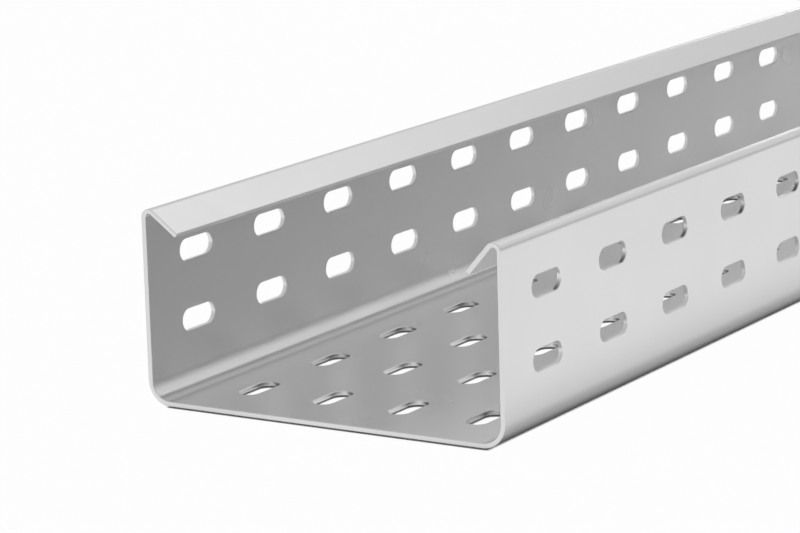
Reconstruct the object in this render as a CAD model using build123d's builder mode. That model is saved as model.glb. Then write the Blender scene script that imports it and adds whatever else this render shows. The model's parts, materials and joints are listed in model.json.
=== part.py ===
"""Trough cable tray: one length of perforated sheet steel, folded to an open channel.

X runs along the tray, Z points up and the underside of the floor lies on Z = 0. The origin is in the
middle of the length and of the width, the near end is the one towards -X and the left wall the one
towards +Y. All sizes are in millimetres.
"""

from build123d import *

import math
import os

# Stock length, and the folded section measured over its outside faces
length = 2000.0
width = 123.5
height = 60.0
sheet = 1.5

# Inside radii of the folds
floor_fold_inside = 6.1
rim_fold_inside = 1.2

# Rims: the slope below the horizontal in degrees, and the flat left beyond the fold
left_rim_slope = 36.5
left_rim_flat = 10.5
right_rim_slope = 49.0
right_rim_flat = 10.8

# Slots lie along the tray, one at each pitch of every row, and all the rows are in step
slot_length = 17.0
slot_width = 6.7
slot_pitch = 40.0
first_slot = 25.5
least_far_margin = 12.0

# Two rows on each wall, the lower one set from the underside and the upper one from the top
lower_row_height = 22.0
upper_row_depth = 16.3

# Four rows across the floor, the outer ones set from where the folds start. The whole set sits a
# little towards the right wall.
outer_row_margin = 14.25
floor_rows_shift = -0.8

# The slots that the record states as mounts have round ends. On the many others each end is three flats
# around that same round end, because hundreds of round ends would make the part's mesh far too heavy.
round_columns = 2
plain_end_cut = slot_width * (1 - math.sqrt(0.5))

near_end = -length / 2
columns = 1 + int((length - first_slot - least_far_margin) // slot_pitch)
plain_columns = columns - round_columns
floor_fold = floor_fold_inside + sheet
rim_fold = rim_fold_inside + sheet
floor_flat = width - 2 * floor_fold
wall_flat = height - floor_fold - rim_fold
upper_row_height = height - upper_row_depth
wall_rows_middle = (lower_row_height + upper_row_height) / 2
wall_row_spacing = upper_row_height - lower_row_height
floor_row_spacing = (floor_flat - 2 * outer_row_margin) / 3


def punch_two_rows(rows_middle, row_spacing, first_column, column_count, outline):
    """Cut a run of slots, two rows wide, out of the panel that is being drawn."""
    run_middle = near_end + first_slot + (first_column + (column_count - 1) / 2) * slot_pitch
    with Locations((run_middle, rows_middle)):
        with GridLocations(slot_pitch, row_spacing, column_count, 2):
            add(outline.sketch, mode=Mode.SUBTRACT)


with BuildSketch(mode=Mode.PRIVATE) as round_slot:
    SlotOverall(slot_length, slot_width)

with BuildSketch(mode=Mode.PRIVATE) as plain_slot:
    Rectangle(slot_length, slot_width)
    chamfer(plain_slot.vertices(), plain_end_cut)

with BuildPart() as tray:
    # The flat of the floor, with four rows of slots: the two in the middle start with the round ones
    with BuildSketch(Plane.XY):
        Rectangle(length, floor_flat)
        punch_two_rows(floor_rows_shift, floor_row_spacing, 0, round_columns, round_slot)
        punch_two_rows(floor_rows_shift, floor_row_spacing, round_columns, plain_columns, plain_slot)
        punch_two_rows(floor_rows_shift, 3 * floor_row_spacing, 0, columns, plain_slot)
    extrude(amount=sheet, clean=False)

    for side, slope, rim_flat in ((1, left_rim_slope, left_rim_flat), (-1, right_rim_slope, right_rim_flat)):
        # The flat of the wall, drawn on its outside face
        with BuildSketch(Plane.XZ.offset(-side * width / 2)):
            with Locations((0, floor_fold + wall_flat / 2)):
                Rectangle(length, wall_flat)
            punch_two_rows(wall_rows_middle, wall_row_spacing, 0, round_columns, round_slot)
            punch_two_rows(wall_rows_middle, wall_row_spacing, round_columns, plain_columns, plain_slot)
        extrude(amount=side * sheet, clean=False)

        # The folds on both sides of the wall and the rim, drawn on the near end
        with BuildSketch(Plane.YZ.offset(near_end)):
            with BuildLine():
                lower = JernArc((side * floor_flat / 2, 0), (side, 0), floor_fold, side * 90)
                offset(amount=sheet, side=Side.LEFT if side > 0 else Side.RIGHT)
            make_face()
            with BuildLine():
                upper = JernArc(lower @ 1 + (0, wall_flat), (0, 1), rim_fold, side * (90 + slope))
                PolarLine(upper @ 1, rim_flat, direction=upper % 1)
                offset(amount=sheet, side=Side.LEFT if side > 0 else Side.RIGHT)
            make_face()
        extrude(amount=length, clean=False)

tray.part.label = "tray"

os.makedirs("parts", exist_ok=True)
export_step(tray.part, "parts/tray.step")
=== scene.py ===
"""Studio scene of a trough cable tray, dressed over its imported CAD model.

One length of perforated sheet steel, folded to an open channel, lies on a plain pale floor. Sizes in the
dataclasses are millimetres, as on a drawing, and are turned into metres where a mesh or a lamp is made.
X runs along the tray, Z points up, the near end is the one towards -X and the left wall the one towards +Y.
"""

import json
import logging
import math
from dataclasses import dataclass, field
from enum import Enum
from typing import Any, ClassVar

import bmesh
import bpy
from mathutils import Matrix, Vector
from mathutils.geometry import delaunay_2d_cdt


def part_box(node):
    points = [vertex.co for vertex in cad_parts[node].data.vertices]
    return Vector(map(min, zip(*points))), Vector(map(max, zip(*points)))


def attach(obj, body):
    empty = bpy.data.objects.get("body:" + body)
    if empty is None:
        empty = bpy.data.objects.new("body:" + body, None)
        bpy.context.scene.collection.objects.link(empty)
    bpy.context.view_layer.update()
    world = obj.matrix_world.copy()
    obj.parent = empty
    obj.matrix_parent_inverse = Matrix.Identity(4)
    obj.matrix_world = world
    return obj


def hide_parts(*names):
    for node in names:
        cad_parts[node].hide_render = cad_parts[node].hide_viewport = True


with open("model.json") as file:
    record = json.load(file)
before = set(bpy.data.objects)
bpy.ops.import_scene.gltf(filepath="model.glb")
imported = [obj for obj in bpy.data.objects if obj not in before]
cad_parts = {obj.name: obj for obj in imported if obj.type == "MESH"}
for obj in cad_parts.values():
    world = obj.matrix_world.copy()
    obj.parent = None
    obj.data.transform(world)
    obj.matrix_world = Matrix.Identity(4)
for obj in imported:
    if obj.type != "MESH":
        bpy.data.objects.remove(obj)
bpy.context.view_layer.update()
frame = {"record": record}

log = logging.getLogger("cable_tray")

MM = 0.001
CM = 0.01


class End(Enum):
    """The two cut ends of the tray, by the way they face along X."""

    NEAR = -1
    FAR = 1


def linear(hex_colour: str) -> tuple[float, float, float, float]:
    """Turn an sRGB hex colour into the linear colour that a shader takes.

    Args:
        hex_colour: six hex digits after a hash sign.

    Returns:
        Linear red, green and blue, and an alpha of one.
    """
    channels = [int(hex_colour[start : start + 2], 16) / 255 for start in (1, 3, 5)]
    red, green, blue = (c / 12.92 if c <= 0.04045 else ((c + 0.055) / 1.055) ** 2.4 for c in channels)
    return red, green, blue, 1.0


def add_node(
    tree: bpy.types.NodeTree, kind: str, inputs: dict[str | int, Any] | None = None, **settings: Any
) -> bpy.types.Node:
    """Add a node to a tree, with its settings, its socket values and its links.

    Args:
        tree: the shader or geometry tree.
        kind: the node's type name.
        inputs: an input's name or number, to a value or to the output socket that feeds it.
        **settings: attributes of the node itself.

    Returns:
        The new node.
    """
    node = tree.nodes.new(kind)
    for name, value in settings.items():
        setattr(node, name, value)
    for name, value in (inputs or {}).items():
        socket = node.inputs[name]
        if isinstance(value, bpy.types.NodeSocket):
            tree.links.new(value, socket)
        else:
            socket.default_value = value
    return node


def white_share(
    tree: bpy.types.NodeTree, seen: float | bpy.types.NodeSocket, mirrored: float | bpy.types.NodeSocket
) -> bpy.types.NodeSocket:
    """Say how much of the plain white background each kind of ray meets.

    Args:
        tree: the tree of the floor's or the surround's material.
        seen: the share for rays from the camera or through glass.
        mirrored: the share for rays off metal.

    Returns:
        The share, which is zero for all other rays.
    """
    path = add_node(tree, "ShaderNodeLightPath")
    total = None
    for name, share in (("Is Camera Ray", seen), ("Is Transmission Ray", seen), ("Is Glossy Ray", mirrored)):
        part = add_node(tree, "ShaderNodeMath", {0: path.outputs[name], 1: share}, operation="MULTIPLY")
        if total is None:
            total = part.outputs[0]
        else:
            both = add_node(tree, "ShaderNodeMath", {0: total, 1: part.outputs[0]}, operation="MAXIMUM")
            total = both.outputs[0]
    return total


def place_object(name: str, data: bpy.types.ID) -> bpy.types.Object:
    """Make an object of this data and link it into the scene."""
    placed = bpy.data.objects.new(name, data)
    bpy.context.scene.collection.objects.link(placed)
    return placed


@dataclass(frozen=True)
class Fold:
    """One bend of the sheet: its outside radius, its turn in degrees and the steps that draw it."""

    outside_radius: float
    turn: float
    steps: int


@dataclass(frozen=True)
class SlotPattern:
    """The punched slots: their size, their pitch along the tray and the rows on each flat."""

    length: float
    width: float
    pitch: float
    first: float
    wall_rows: tuple[float, ...]
    floor_rows: tuple[float, ...]
    end_steps: int = 8

    @classmethod
    def from_record(cls, record: dict[str, Any], near_end: float) -> "SlotPattern":
        """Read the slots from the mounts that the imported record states.

        Args:
            record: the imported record.
            near_end: the place of the tray's near end along X.

        Returns:
            The pattern, its wall rows given by height and its floor rows by their place across.
        """
        mounts = {mount["name"]: mount for mount in record["mounts"]}
        wall, floor = mounts["left_wall_slots"], mounts["floor_slots"]
        pitch = wall["dims"]["spacing_x_mm"]
        wall_middle, wall_half = wall["pos_m"][2] / MM, wall["dims"]["spacing_y_mm"] / 2
        floor_middle, floor_half = floor["pos_m"][1] / MM, floor["dims"]["spacing_y_mm"] / 2
        return cls(
            length=wall["dims"]["slot_length_mm"],
            width=2 * wall["dims"]["hole_r_mm"],
            pitch=pitch,
            first=wall["pos_m"][0] / MM - pitch / 2 - near_end,
            wall_rows=(wall_middle - wall_half, wall_middle + wall_half),
            floor_rows=tuple(floor_middle + halves * floor_half for halves in (-3, -1, 1, 3)),
        )

    def outline(self, across: float, grow: float) -> list[tuple[float, float]]:
        """Draw one slot of a pitch on the flat sheet, anticlockwise.

        Args:
            across: the slot's middle across the sheet.
            grow: how far the outline stands outside the punched opening.

        Returns:
            The outline's points, along and across the sheet.
        """
        radius = self.width / 2 + grow
        reach = (self.length - self.width) / 2
        points = []
        for end, start in ((1, -math.pi / 2), (-1, math.pi / 2)):
            for step in range(self.end_steps + 1):
                angle = start + math.pi * step / self.end_steps
                along = self.first + end * reach + radius * math.cos(angle)
                points.append((along, across + radius * math.sin(angle)))
        return points


@dataclass(frozen=True)
class Station:
    """A line along the outside face, by its place over the flat sheet and in the folded section."""

    across: float
    y: float
    z: float
    heading: float

    def folded(self, depth: float, beyond: float = 0.0) -> tuple[float, float]:
        """Fold a point of the sheet into place.

        Args:
            depth: how far the point lies below the outside face.
            beyond: how far it lies past this station on the same flat.

        Returns:
            Its Y and Z.
        """
        cos, sin = math.cos(self.heading), math.sin(self.heading)
        return self.y + beyond * cos - depth * sin, self.z + beyond * sin + depth * cos


@dataclass(frozen=True)
class Panel:
    """A flat that carries slots, between two stations, with its rows over the flat sheet."""

    start: Station
    stop: Station
    rows: tuple[float, ...]


class FoldedSection:
    """The tray's section, walked along its outside face from the right rim's tip to the left one's."""

    def __init__(self, tray: "CableTray", slots: SlotPattern) -> None:
        """Lay the section out.

        Args:
            tray: the tray whose sizes the section takes.
            slots: the slots whose rows its flats carry.
        """
        low_y = -tray.width / 2
        floor_radius = tray.floor_fold.outside_radius
        turn = math.radians(tray.right_rim_fold.turn)
        rim_radius = tray.right_rim_fold.outside_radius
        # The walk goes down the right wall at three quarters of a turn, and its rim's fold comes before that
        heading = 1.5 * math.pi - turn
        tip_y = low_y + rim_radius * (1 + math.sin(heading)) - tray.right_rim_flat * math.cos(heading)
        tip_z = tray.height - rim_radius * (1 + math.cos(heading)) - tray.right_rim_flat * math.sin(heading)
        self.stations = [Station(0.0, tip_y, tip_z, heading)]
        self.panels: list[Panel] = []
        wall_flat = tray.height - floor_radius - rim_radius
        floor_flat = tray.width - 2 * floor_radius

        self._flat(tray.right_rim_flat, tray.edge)
        self._fold(tray.right_rim_fold)
        top = self.stations[-1]
        self._flat(wall_flat, tray.border, [top.across + top.z - row for row in slots.wall_rows])
        self._fold(tray.floor_fold)
        right = self.stations[-1]
        self._flat(floor_flat, tray.border, [right.across + row - right.y for row in slots.floor_rows])
        self._fold(tray.floor_fold)
        foot = self.stations[-1]
        self._flat(wall_flat, tray.border, [foot.across + row - foot.z for row in slots.wall_rows])
        self._fold(tray.left_rim_fold)
        self._flat(tray.left_rim_flat, tray.edge)

    def _walk(self, step: float) -> None:
        """Go straight on and set a station there."""
        last = self.stations[-1]
        y, z = last.folded(0.0, step)
        self.stations.append(Station(last.across + step, y, z, last.heading))

    def _flat(self, length: float, border: float, rows: list[float] | None = None) -> None:
        """Walk a flat, with a narrow border at each end that keeps the folds' shading off it.

        Args:
            length: the flat's width.
            border: the width of each border.
            rows: the middles of its rows of slots over the flat sheet, if it has any.
        """
        self._walk(border)
        self._walk(length - 2 * border)
        if rows:
            self.panels.append(Panel(self.stations[-2], self.stations[-1], tuple(sorted(rows))))
        self._walk(border)

    def _fold(self, fold: Fold) -> None:
        """Walk round a fold, which always turns towards the inside of the channel."""
        start = self.stations[-1]
        centre_y, centre_z = start.folded(fold.outside_radius)
        for step in range(1, fold.steps + 1):
            turned = math.radians(fold.turn) * step / fold.steps
            heading = start.heading + turned
            y = centre_y + fold.outside_radius * math.sin(heading)
            z = centre_z - fold.outside_radius * math.cos(heading)
            self.stations.append(Station(start.across + fold.outside_radius * turned, y, z, heading))


class SheetMesh:
    """A mesh of folded sheet, whose points are given on the flat pattern."""

    # Points that agree to this many decimals of a millimetre share a vertex
    shared_decimals: ClassVar[int] = 4

    def __init__(self) -> None:
        """Start an empty mesh."""
        self.bm = bmesh.new()
        self._known: dict[tuple[float, ...], bmesh.types.BMVert] = {}

    def vertex(self, along: float, station: Station, depth: float, beyond: float = 0.0) -> bmesh.types.BMVert:
        """Give the vertex at a point of the sheet, made on first use.

        Args:
            along: its place along the tray.
            station: the station that it lies on or after.
            depth: how far it lies below the outside face.
            beyond: how far it lies past the station.

        Returns:
            The vertex.
        """
        y, z = station.folded(depth, beyond)
        key = tuple(round(place, self.shared_decimals) for place in (along, y, z))
        if key not in self._known:
            self._known[key] = self.bm.verts.new(Vector((along, y, z)) * MM)
        return self._known[key]

    def face(self, corners: list[bmesh.types.BMVert], turned: bool = False) -> None:
        """Add a smooth face, turned over if need be."""
        self.bm.faces.new(corners[::-1] if turned else corners).smooth = True

    def band(
        self, one: list[bmesh.types.BMVert], two: list[bmesh.types.BMVert], turned: bool = False
    ) -> None:
        """Join two rings of as many vertices with a band of faces.

        Args:
            one: the ring on the side that the band's faces start from.
            two: the other ring.
            turned: whether the faces are turned over.
        """
        count = len(one)
        for i in range(count):
            j = (i + 1) % count
            self.face([one[i], one[j], two[j], two[i]], turned)

    def finished(self, name: str) -> bpy.types.Mesh:
        """Write the mesh out under a name."""
        mesh = bpy.data.meshes.new(name)
        self.bm.to_mesh(mesh)
        self.bm.free()
        return mesh


class PitchTile:
    """One pitch of the folded and punched sheet, open at both ends so that copies of it join."""

    # What the triangulation is asked for: the triangles inside the outer outline, and how near two points
    # may lie, in millimetres, before they count as one
    inside_triangles: ClassVar[int] = 1
    same_point: ClassVar[float] = 1e-5

    def __init__(self, tray: "CableTray", section: FoldedSection, slots: SlotPattern) -> None:
        """Take the sizes of the tray that the tile belongs to.

        Args:
            tray: the tray.
            section: its folded section.
            slots: its slots.
        """
        self.tray = tray
        self.section = section
        self.slots = slots
        self.sheet = SheetMesh()

    def build(self) -> bpy.types.Mesh:
        """Make the tile's mesh, from X = 0 to one pitch."""
        panels = {panel.start.across: panel for panel in self.section.panels}
        stations = self.section.stations[1:-1]
        for start, stop in zip(stations, stations[1:]):
            if start.across in panels:
                self._punched(panels[start.across])
            else:
                self._strip(start, stop)
        self._tip(self.section.stations[0], self.section.stations[1], turned=False)
        self._tip(self.section.stations[-1], self.section.stations[-2], turned=True)
        return self.sheet.finished("pitch_tile")

    def _strip(self, start: Station, stop: Station) -> None:
        """Lay a plain strip of both skins between two stations."""
        for depth, turned in ((0.0, True), (self.tray.sheet, False)):
            corners = [
                self.sheet.vertex(along, station, depth)
                for along, station in (
                    (0.0, start),
                    (self.slots.pitch, start),
                    (self.slots.pitch, stop),
                    (0.0, stop),
                )
            ]
            self.sheet.face(corners, turned)

    def _punched(self, panel: Panel) -> None:
        """Lay a flat of both skins with its slots, and line the slots.

        Args:
            panel: the flat.
        """
        edge, sheet = self.tray.edge, self.tray.sheet
        for depth, turned in ((0.0, True), (sheet, False)):
            self._skin(panel, depth, turned)
        for row in panel.rows:
            rings = []
            for depth, grow in ((0.0, edge), (edge, 0.0), (sheet - edge, 0.0), (sheet, edge)):
                rings.append(
                    [
                        self.sheet.vertex(along, panel.start, depth, across - panel.start.across)
                        for along, across in self.slots.outline(row, grow)
                    ]
                )
            for upper, lower in zip(rings, rings[1:]):
                self.sheet.band(upper, lower, turned=True)

    def _skin(self, panel: Panel, depth: float, turned: bool) -> None:
        """Fill one skin of a punched flat round its slots.

        Args:
            panel: the flat.
            depth: the skin's depth below the outside face.
            turned: whether its faces look outwards.
        """
        start, stop = panel.start.across, panel.stop.across
        outlines = [[(0.0, start), (self.slots.pitch, start), (self.slots.pitch, stop), (0.0, stop)]]
        outlines += [self.slots.outline(row, self.tray.edge) for row in panel.rows]
        points, edges, loop_of = [], [], []
        for number, loop in enumerate(outlines):
            first = len(points)
            points += [Vector(point) for point in loop]
            edges += [(first + i, first + (i + 1) % len(loop)) for i in range(len(loop))]
            loop_of += [number] * len(loop)
        flat, _, triangles, origins, *_ = delaunay_2d_cdt(
            points, edges, [], self.inside_triangles, self.same_point
        )
        for triangle in triangles:
            loops = {loop_of[origins[i][0]] for i in triangle}
            # A slot bulges everywhere, so a triangle between three points of one slot lies inside it
            if len(loops) == 1 and loops != {0}:
                continue
            vertices = [self.sheet.vertex(flat[i].x, panel.start, depth, flat[i].y - start) for i in triangle]
            self.sheet.face(vertices, turned)

    def _tip(self, tip: Station, inner: Station, turned: bool) -> None:
        """Close a rim's tip, with its two edges broken.

        Args:
            tip: the station at the very tip.
            inner: the next one, where the skins stop.
            turned: whether the faces are turned over, as at the left rim.
        """
        edge, sheet = self.tray.edge, self.tray.sheet
        lines = [
            [self.sheet.vertex(along, station, depth) for along in (0.0, self.slots.pitch)]
            for station, depth in ((inner, 0.0), (tip, edge), (tip, sheet - edge), (inner, sheet))
        ]
        for upper, lower in zip(lines, lines[1:]):
            self.sheet.face([upper[0], upper[1], lower[1], lower[0]], turned)


class EndCap:
    """The cut face at one end of the tray, with its edges broken."""

    def __init__(self, tray: "CableTray", section: FoldedSection, end: End) -> None:
        """Take the sizes of the tray and the end to close.

        Args:
            tray: the tray.
            section: its folded section.
            end: the end that the cap closes.
        """
        self.tray = tray
        self.section = section
        self.end = end

    def _ring(self, sheet: SheetMesh, along: float, inset: float) -> list[bmesh.types.BMVert]:
        """Draw the section's outline, set in from its true edge.

        Args:
            sheet: the mesh to draw in.
            along: the outline's place along the tray.
            inset: how far it is set in.

        Returns:
            Its vertices, out along the outside skin and back along the inside one.
        """
        first, *middle, last = self.section.stations[1:-1]
        tips = self.section.stations[0], self.section.stations[-1]
        edge, depth = self.tray.edge, self.tray.sheet
        # A tip's corners are cut at 45 degrees, as widely as the broken edge, and a set-in outline stays
        # parallel to that cut
        corner = edge + inset * (math.sqrt(2) - 1)
        ring = [sheet.vertex(along, tips[0], inset, corner)]
        ring += [sheet.vertex(along, station, inset) for station in middle]
        ring += [sheet.vertex(along, tips[1], inset, -corner)]
        ring += [sheet.vertex(along, tips[1], corner, -inset)]
        ring += [sheet.vertex(along, tips[1], depth - corner, -inset)]
        ring += [sheet.vertex(along, tips[1], depth - inset, -corner)]
        ring += [sheet.vertex(along, station, depth - inset) for station in reversed(middle)]
        ring += [sheet.vertex(along, tips[0], depth - inset, corner)]
        ring += [sheet.vertex(along, tips[0], depth - corner, inset)]
        ring += [sheet.vertex(along, tips[0], corner, inset)]
        return ring

    def build(self) -> bpy.types.Mesh:
        """Make the cap: the broken edge round the section and the cut face inside it."""
        sheet = SheetMesh()
        turned = self.end is End.NEAR
        cut = self.end.value * self.tray.length / 2
        outer = self._ring(sheet, cut - self.end.value * self.tray.edge, 0.0)
        face = self._ring(sheet, cut, self.tray.edge)
        sheet.band(outer, face, turned)
        # The ring runs out along the outside skin, over the left tip by two points and back along the inside
        across = len(self.section.stations) - 2
        outside, inside = face[:across], face[across + 2 : 2 * across + 2][::-1]
        for i in range(across - 1):
            sheet.face([outside[i], outside[i + 1], inside[i + 1], inside[i]], turned)
        sheet.face([face[-1], outside[0], inside[0], face[-2]], turned)
        sheet.face([outside[-1], face[across], face[across + 1], inside[-1]], turned)
        return sheet.finished(f"end_cap_{self.end.name.lower()}")


class PerforatedRun:
    """The Geometry Nodes tree that repeats the pitch tile along the tray."""

    def __init__(self) -> None:
        """Build the tree with its named inputs."""
        self.tree = bpy.data.node_groups.new("perforated_run", "GeometryNodeTree")
        sockets = (
            ("Tile", "NodeSocketObject"),
            ("Pitches", "NodeSocketInt"),
            ("Pitch", "NodeSocketFloat"),
            ("Near End", "NodeSocketFloat"),
            ("Join Distance", "NodeSocketFloat"),
            ("Finish", "NodeSocketMaterial"),
        )
        self.identifiers = {
            name: self.tree.interface.new_socket(name, in_out="INPUT", socket_type=kind).identifier
            for name, kind in sockets
        }
        self.tree.interface.new_socket("Geometry", in_out="OUTPUT", socket_type="NodeSocketGeometry")
        given = add_node(self.tree, "NodeGroupInput").outputs
        start = add_node(self.tree, "ShaderNodeCombineXYZ", {"X": given["Near End"]})
        step = add_node(self.tree, "ShaderNodeCombineXYZ", {"X": given["Pitch"]})
        line = add_node(
            self.tree,
            "GeometryNodeMeshLine",
            {
                "Count": given["Pitches"],
                "Start Location": start.outputs[0],
                "Offset": step.outputs[0],
            },
        )
        tile = add_node(self.tree, "GeometryNodeObjectInfo", {"Object": given["Tile"]})
        copies = add_node(
            self.tree,
            "GeometryNodeInstanceOnPoints",
            {"Points": line.outputs["Mesh"], "Instance": tile.outputs["Geometry"]},
        )
        real = add_node(
            self.tree, "GeometryNodeRealizeInstances", {"Geometry": copies.outputs["Instances"]}
        )
        joined = add_node(
            self.tree,
            "GeometryNodeMergeByDistance",
            {"Geometry": real.outputs["Geometry"], "Distance": given["Join Distance"]},
        )
        dressed = add_node(
            self.tree,
            "GeometryNodeSetMaterial",
            {"Geometry": joined.outputs["Geometry"], "Material": given["Finish"]},
        )
        add_node(self.tree, "NodeGroupOutput", {"Geometry": dressed.outputs["Geometry"]})

    def evaluate(self, name: str, values: dict[str, Any]) -> bpy.types.Mesh:
        """Run the tree once and keep its result as a plain mesh.

        Args:
            name: the new mesh's name.
            values: an input's name, to its value.

        Returns:
            The mesh.
        """
        carrier = place_object("run_carrier", bpy.data.meshes.new("run_carrier"))
        modifier = carrier.modifiers.new("perforated_run", "NODES")
        modifier.node_group = self.tree
        for label, value in values.items():
            modifier[self.identifiers[label]] = value
        evaluated = carrier.evaluated_get(bpy.context.evaluated_depsgraph_get())
        mesh = bpy.data.meshes.new_from_object(evaluated)
        mesh.name = name
        carrier.modifiers.remove(modifier)
        bpy.data.objects.remove(carrier)
        return mesh


@dataclass(frozen=True)
class GalvanisedSteel:
    """Zinc-coated sheet steel, as it leaves the coil.

    The zinc layer is a matt light grey metal. It gives soft, wide reflections, a faint cloudiness a few
    centimetres across and a very fine grain, and it has no lines from brushing.
    """

    colour: str = "#e0e0e0"
    cloud_colour: str = "#dddddd"
    roughness: float = 0.29
    roughness_spread: float = 0.04
    cloud_size: float = 28.0
    cloud_detail: float = 2.0
    cloud_unevenness: float = 0.45
    grain_size: float = 0.9
    grain_detail: float = 1.0
    grain_height: float = 0.006

    def material(self) -> bpy.types.Material:
        """Make the finish as a material on Object coordinates."""
        steel = bpy.data.materials.new("galvanised_sheet_steel")
        steel.use_nodes = True
        tree = steel.node_tree
        tree.nodes.clear()
        where = add_node(tree, "ShaderNodeTexCoord").outputs["Object"]
        clouds = add_node(
            tree,
            "ShaderNodeTexNoise",
            {
                "Vector": where,
                "Scale": 1 / (self.cloud_size * MM),
                "Detail": self.cloud_detail,
                "Roughness": self.cloud_unevenness,
            },
        )
        # The mix node gives its sockets for each kind of data the same names, so the colours go by number
        colour = add_node(
            tree,
            "ShaderNodeMix",
            {
                0: clouds.outputs["Fac"],
                6: linear(self.colour),
                7: linear(self.cloud_colour),
            },
            data_type="RGBA",
        )
        roughness = add_node(
            tree,
            "ShaderNodeMapRange",
            {
                "Value": clouds.outputs["Fac"],
                "To Min": self.roughness - self.roughness_spread,
                "To Max": self.roughness + self.roughness_spread,
            },
        )
        grain = add_node(
            tree,
            "ShaderNodeTexNoise",
            {"Vector": where, "Scale": 1 / (self.grain_size * MM), "Detail": self.grain_detail},
        )
        bump = add_node(
            tree,
            "ShaderNodeBump",
            {"Height": grain.outputs["Fac"], "Distance": self.grain_height * MM, "Strength": 1.0},
        )
        shader = add_node(
            tree,
            "ShaderNodeBsdfPrincipled",
            {
                "Base Color": colour.outputs[2],
                "Metallic": 1.0,
                "Roughness": roughness.outputs["Result"],
                "Normal": bump.outputs["Normal"],
            },
        )
        add_node(tree, "ShaderNodeOutputMaterial", {"Surface": shader.outputs["BSDF"]})
        return steel


@dataclass
class CableTray:
    """The tray: one folded and punched length of sheet steel, open at the top."""

    node: str = "tray"
    slot: str = "sheet_steel"
    body: str = "root"
    sheet: float = 1.5
    floor_fold: Fold = Fold(outside_radius=7.6, turn=90.0, steps=14)
    left_rim_fold: Fold = Fold(outside_radius=2.7, turn=126.5, steps=12)
    right_rim_fold: Fold = Fold(outside_radius=2.7, turn=139.0, steps=12)
    left_rim_flat: float = 10.5
    right_rim_flat: float = 10.8
    edge: float = 0.18
    border: float = 0.6
    crease_angle: float = 30.0
    join_distance: float = 0.01
    finish: GalvanisedSteel = field(default_factory=GalvanisedSteel)

    def __post_init__(self) -> None:
        """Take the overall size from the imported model."""
        low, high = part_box(self.node)
        self.length, self.width, self.height = ((high - low) / MM).to_tuple(3)
        self.near_end = low.x / MM

    def build(self) -> bpy.types.Object:
        """Make the tray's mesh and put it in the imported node's place.

        Returns:
            The finished piece.
        """
        slots = SlotPattern.from_record(frame["record"], self.near_end)
        section = FoldedSection(self, slots)
        tile = place_object("pitch_tile", PitchTile(self, section, slots).build())
        steel = self.finish.material()
        mesh = PerforatedRun().evaluate(
            "tray_sheet",
            {
                "Tile": tile,
                "Pitches": round(self.length / slots.pitch),
                "Pitch": slots.pitch * MM,
                "Near End": self.near_end * MM,
                "Join Distance": self.join_distance * MM,
                "Finish": steel,
            },
        )
        bpy.data.objects.remove(tile)
        self._close(mesh, section)
        mesh.materials.clear()
        mesh.materials.append(steel)
        piece = place_object("tray_sheet", mesh)
        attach(piece, self.body)
        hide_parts(self.node)
        return piece

    def _close(self, mesh: bpy.types.Mesh, section: FoldedSection) -> None:
        """Close both ends of the run with their cut faces.

        Args:
            mesh: the run, open at both ends.
            section: the tray's section.
        """
        bm = bmesh.new()
        bm.from_mesh(mesh)
        reach = self.length / 2 * MM
        for vertex in bm.verts:
            if abs(abs(vertex.co.x) - reach) < self.join_distance * MM:
                vertex.co.x -= math.copysign(self.edge * MM, vertex.co.x)
        for end in End:
            cap = EndCap(self, section, end).build()
            bm.from_mesh(cap)
            bpy.data.meshes.remove(cap)
        bmesh.ops.remove_doubles(bm, verts=bm.verts, dist=self.join_distance * MM)
        for face in bm.faces:
            face.material_index = 0
        for edge in bm.edges:
            edge.smooth = edge.calc_face_angle(0.0) < math.radians(self.crease_angle)
        open_edges = sum(not edge.is_manifold for edge in bm.edges)
        volume = bm.calc_volume() / CM**3
        log.info("tray_sheet: %d faces, %d open edges, %.1f cm3", len(bm.faces), open_edges, volume)
        bm.to_mesh(mesh)
        bm.free()


@dataclass(frozen=True)
class ContactShade:
    """How the floor turns from white to its own shaded colour close to the tray.

    What counts is how much of the view from a point of the floor stays free within the reach. The white is
    full where that share is at least the clear one, and gone where it is at most the closed one.
    """

    white: float
    reach: float
    closed: float
    clear: float
    samples: int = 8

    def share(self, tree: bpy.types.NodeTree) -> bpy.types.NodeSocket:
        """Add the nodes that give the share of white at a point of the floor."""
        free = add_node(
            tree, "ShaderNodeAmbientOcclusion", {"Distance": self.reach * MM}, samples=self.samples
        )
        share = add_node(
            tree,
            "ShaderNodeMapRange",
            {
                "Value": free.outputs["AO"],
                "From Min": self.closed,
                "From Max": self.clear,
                "To Max": self.white,
            },
        )
        return share.outputs["Result"]


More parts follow.
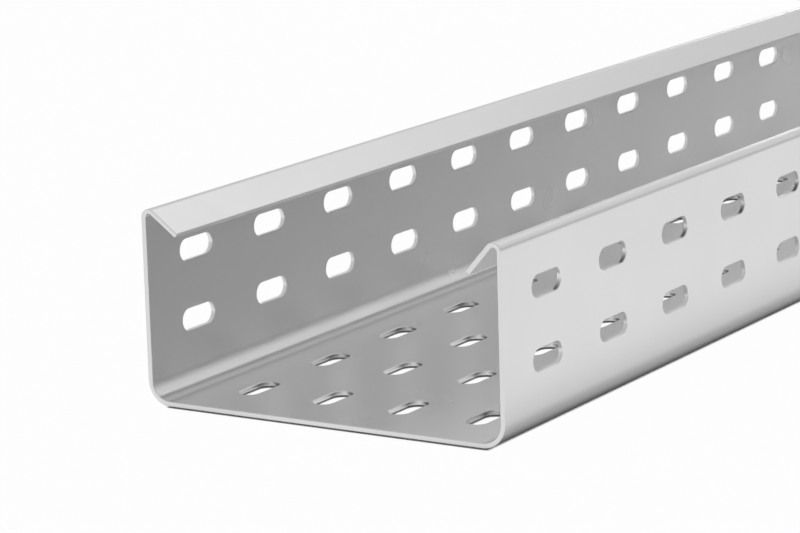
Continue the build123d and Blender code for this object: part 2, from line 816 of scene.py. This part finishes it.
@dataclass(frozen=True)
class StudioFloor:
    """The plain pale floor. Camera and mirror rays see it nearly white, and it keeps a faint shadow."""

    colour: str = "#b8b8b8"
    reach: float = 9000.0
    drop: float = 0.5
    seen: ContactShade = ContactShade(white=0.98, reach=1.0, closed=0.4, clear=0.6)
    mirrored: ContactShade = ContactShade(white=1.0, reach=60.0, closed=0.38, clear=0.825)

    def build(self) -> bpy.types.Object:
        """Make the floor."""
        half, z = self.reach * MM, -self.drop * MM
        corners = [(-half, -half, z), (half, -half, z), (half, half, z), (-half, half, z)]
        mesh = bpy.data.meshes.new("studio_floor")
        mesh.from_pydata(corners, [], [range(len(corners))])
        mesh.materials.append(self._material())
        floor = place_object("studio_floor", mesh)
        return floor

    def _material(self) -> bpy.types.Material:
        """Make the floor's material: matt paint, mostly seen as plain white."""
        paint = bpy.data.materials.new("matt_floor_paint")
        paint.use_nodes = True
        tree = paint.node_tree
        tree.nodes.clear()
        matt = add_node(tree, "ShaderNodeBsdfDiffuse", {"Color": linear(self.colour)})
        glow = add_node(tree, "ShaderNodeEmission", {"Color": linear("#ffffff"), "Strength": 1.0})
        white = white_share(tree, self.seen.share(tree), self.mirrored.share(tree))
        both = add_node(
            tree,
            "ShaderNodeMixShader",
            {0: white, 1: matt.outputs["BSDF"], 2: glow.outputs["Emission"]},
        )
        add_node(tree, "ShaderNodeOutputMaterial", {"Surface": both.outputs["Shader"]})
        return paint


@dataclass(frozen=True)
class Softbox:
    """One soft studio lamp. It is aimed at the tray a little inside its near end."""

    name: str
    place: tuple[float, float, float]
    size: tuple[float, float]
    watts: float
    aim: tuple[float, float, float] = (-800.0, 0.0, 60.0)

    def build(self) -> bpy.types.Object:
        """Hang the lamp."""
        light = bpy.data.lights.new(self.name, "AREA")
        light.shape = "RECTANGLE"
        light.size, light.size_y = (side * MM for side in self.size)
        light.energy = self.watts
        lamp = place_object(self.name, light)
        lamp.visible_camera = False
        lamp.location = Vector(self.place) * MM
        lamp.rotation_euler = (Vector(self.aim) - Vector(self.place)).to_track_quat("-Z", "Y").to_euler()
        return lamp


@dataclass(frozen=True)
class Studio:
    """The room round the tray: the floor, the softboxes and a surround that is brighter to the left.

    The surround lights the tray at the level, and the camera sees it plain white. Metal mirrors it with the
    share mirrored_white of that plain white mixed in.
    """

    level: float = 0.525
    brighter_side: tuple[float, float, float] = (0.0, 0.15, 0.0)
    mirrored_white: float = 0.3
    floor: StudioFloor = StudioFloor()
    softboxes: tuple[Softbox, ...] = (
        Softbox("softbox_overhead", (3370.0, 0.0, 4380.0), size=(2800.0, 2800.0), watts=11.0),
        Softbox("softbox_right", (4080.0, -2170.0, 2780.0), size=(2800.0, 2800.0), watts=5.0),
        Softbox("softbox_low_left", (4890.0, 1740.0, 845.0), size=(1200.0, 1200.0), watts=29.0),
    )

    def build(self) -> None:
        """Set the surround, the floor and the lamps up."""
        world = bpy.data.worlds.new("studio_surround")
        world.use_nodes = True
        tree = world.node_tree
        tree.nodes.clear()
        towards = add_node(tree, "ShaderNodeTexCoord").outputs["Generated"]
        side = add_node(
            tree, "ShaderNodeVectorMath", {0: towards, 1: self.brighter_side}, operation="DOT_PRODUCT"
        )
        gradient = add_node(
            tree, "ShaderNodeMath", {0: side.outputs["Value"], 1: self.level}, operation="ADD"
        )
        strength = add_node(
            tree,
            "ShaderNodeMapRange",
            {
                "Value": white_share(tree, 1.0, self.mirrored_white),
                "To Min": gradient.outputs[0],
                "To Max": 1.0,
            },
        )
        sky = add_node(
            tree,
            "ShaderNodeBackground",
            {"Color": linear("#ffffff"), "Strength": strength.outputs["Result"]},
        )
        add_node(tree, "ShaderNodeOutputWorld", {"Surface": sky.outputs["Background"]})
        bpy.context.scene.world = world
        self.floor.build()
        for softbox in self.softboxes:
            softbox.build()


@dataclass(frozen=True)
class PhotoCamera:
    """The camera at the photograph's angle, found from the slots' places in its 800 by 533 frame.

    The three angles are radians: the turn from X towards Y, the slope down and the lean of the frame.
    """

    place: tuple[float, float, float] = (-1798.67, -528.14, 255.23)
    azimuth: float = 0.559
    descent: float = 0.214
    roll: float = 0.029
    focal_pixels: float = 3396.2
    image_width: float = 800.0
    sensor: float = 36.0
    nearest: float = 10.0
    farthest: float = 60000.0

    def build(self) -> bpy.types.Object:
        """Set the camera up and make it the scene's own."""
        lens = bpy.data.cameras.new("photo_camera")
        lens.sensor_width = self.sensor
        lens.lens = self.sensor * self.focal_pixels / self.image_width
        lens.clip_start, lens.clip_end = self.nearest * MM, self.farthest * MM
        camera = place_object("photo_camera", lens)
        level = math.cos(self.descent)
        forward = Vector(
            (level * math.cos(self.azimuth), level * math.sin(self.azimuth), -math.sin(self.descent))
        )
        right = forward.cross(Vector((0.0, 0.0, 1.0))).normalized()
        down = forward.cross(right)
        turned_right = right * math.cos(self.roll) + down * math.sin(self.roll)
        turned_down = down * math.cos(self.roll) - right * math.sin(self.roll)
        axes = Matrix((turned_right, -turned_down, -forward)).transposed()
        camera.matrix_world = Matrix.Translation(Vector(self.place) * MM) @ axes.to_4x4()
        bpy.context.scene.camera = camera
        return camera


def main() -> None:
    """Build the camera, the studio and the tray."""
    logging.basicConfig(level=logging.INFO, format="%(name)s: %(message)s")
    bpy.context.scene.view_settings.view_transform = "Standard"
    PhotoCamera().build()
    Studio().build()
    piece = CableTray().build()
    bpy.context.view_layer.update()


if __name__ == "__main__":
    main()
